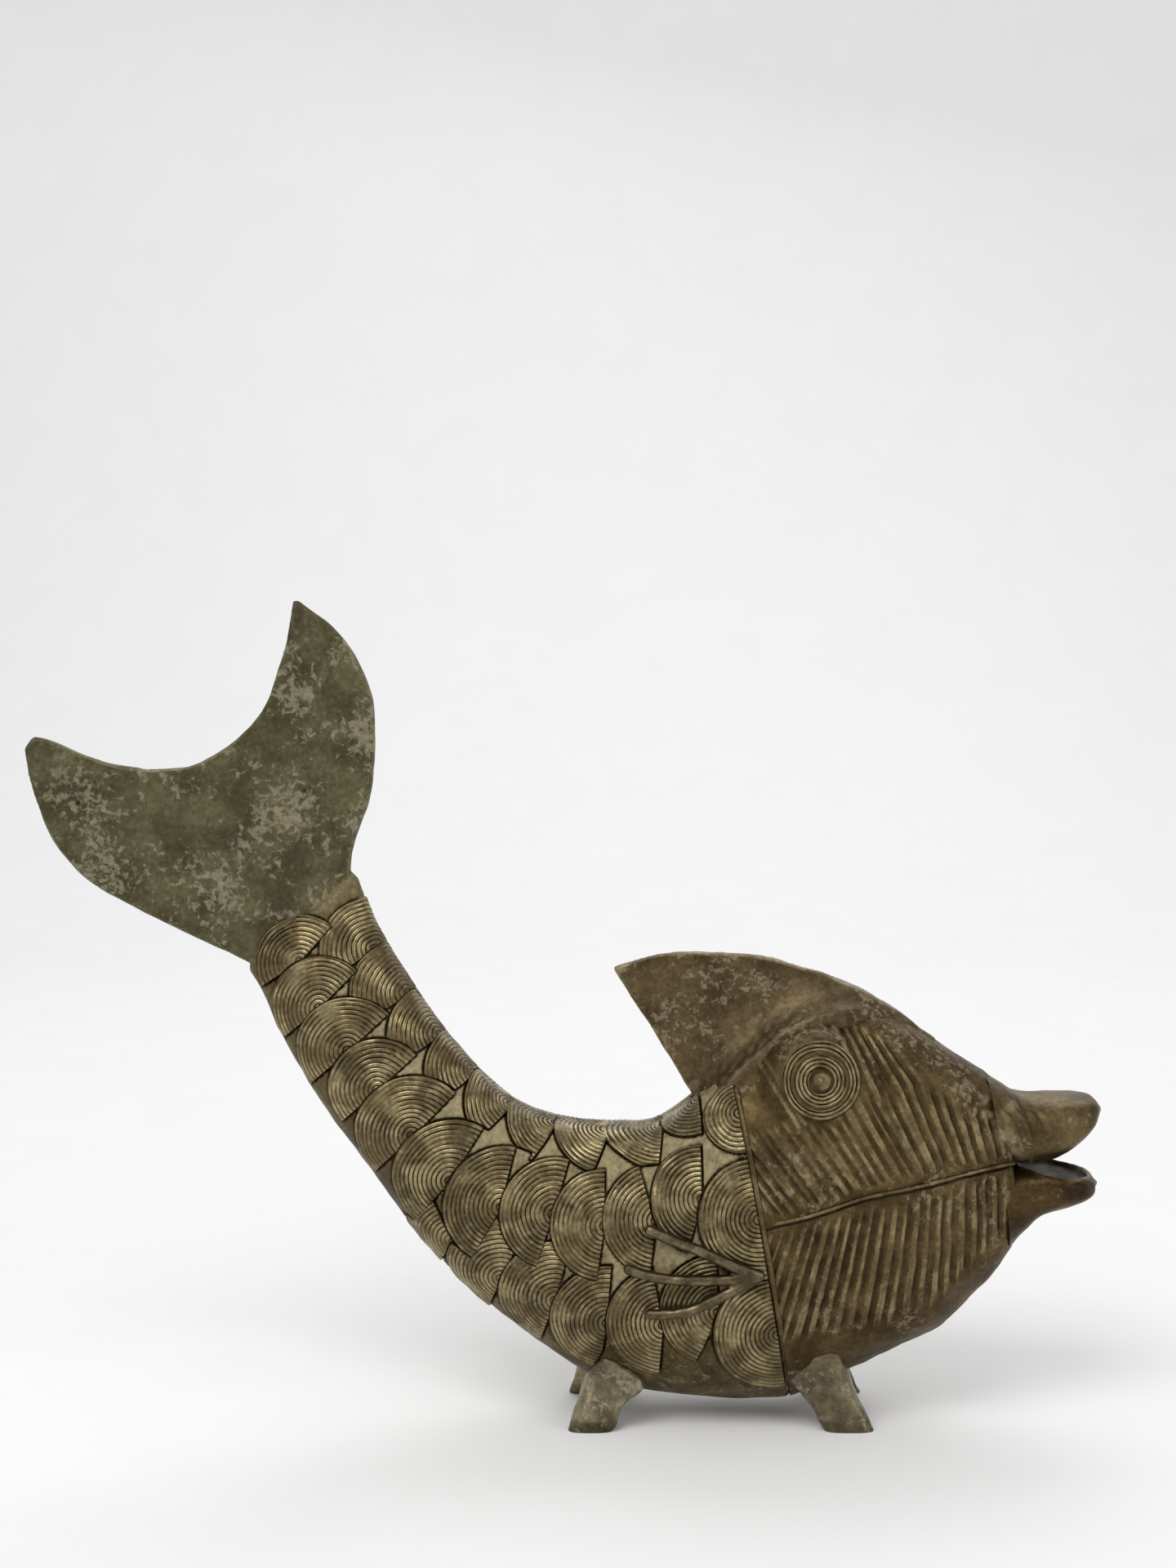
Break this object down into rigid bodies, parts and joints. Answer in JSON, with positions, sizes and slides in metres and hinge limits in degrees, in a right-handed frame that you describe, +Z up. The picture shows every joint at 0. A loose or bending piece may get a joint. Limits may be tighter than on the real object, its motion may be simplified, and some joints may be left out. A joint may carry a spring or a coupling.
{
  "type": "fish figurine",
  "caption": "Cast brass fish figurine with raised forked tail, crest, coiled eyes, rod fins and coiled half-disc scales over a hollow body, standing on short flat-footed legs.",
  "frame": {"origin": "centre of the bounding box in X and Y, on the surface that the feet rest on", "axes": "+X towards the snout, +Y to the fish's left, +Z up"},
  "size_m": [0.3015, 0.0594, 0.2296],
  "materials": {
    "fin": "aged cast brass, worn semi-gloss with mottled olive-grey patina",
    "skin": "aged cast brass, dark olive-brown patina in the grooves",
    "scale": "aged cast brass, rubbed brighter on the wax-thread ridges",
    "thread": "aged cast brass, rubbed brighter",
    "leg": "aged cast brass, dull and greyer, finely pitted",
    "core": "fired clay, matt and unseen"
  },
  "bodies": {
    "root": {"trunk_shell": "skin", "head_shell": "skin", "clay_core": "core", "tail_fin": "fin", "crest_fin": "fin", "upper_lip": "fin", "lower_lip": "fin", "right_eye_coil": "scale", "left_eye_coil": "scale", "right_eye_cone": "thread", "left_eye_cone": "thread", "right_gill_thread": "thread", "left_gill_thread": "thread", "right_mouth_thread": "thread", "left_mouth_thread": "thread", "right_pectoral_fin": "thread", "left_pectoral_fin": "thread", "right_rear_leg": "leg", "left_rear_leg": "leg", "right_front_leg": "leg", "left_front_leg": "leg", "right_flank_scale_01": "scale", "right_flank_scale_02": "scale", "right_flank_scale_03": "scale", "right_flank_scale_04": "scale", "right_flank_scale_05": "scale", "right_flank_scale_06": "scale", "right_flank_scale_07": "scale", "right_flank_scale_08": "scale", "right_flank_scale_09": "scale", "right_flank_scale_10": "scale", "right_flank_scale_11": "scale", "right_flank_scale_12": "scale", "left_flank_scale_01": "scale", "left_flank_scale_02": "scale", "left_flank_scale_03": "scale", "left_flank_scale_04": "scale", "left_flank_scale_05": "scale", "left_flank_scale_06": "scale", "left_flank_scale_07": "scale", "left_flank_scale_08": "scale", "left_flank_scale_09": "scale", "left_flank_scale_10": "scale", "left_flank_scale_11": "scale", "left_flank_scale_12": "scale", "right_nape_scale": "scale", "left_nape_scale": "scale", "back_scale_01": "scale", "back_scale_02": "scale", "back_scale_03": "scale", "back_scale_04": "scale", "back_scale_05": "scale", "back_scale_06": "scale", "back_scale_07": "scale", "back_scale_08": "scale", "back_scale_09": "scale", "right_belly_scales": "scale", "left_belly_scales": "scale"}
  },
  "joints": []
}
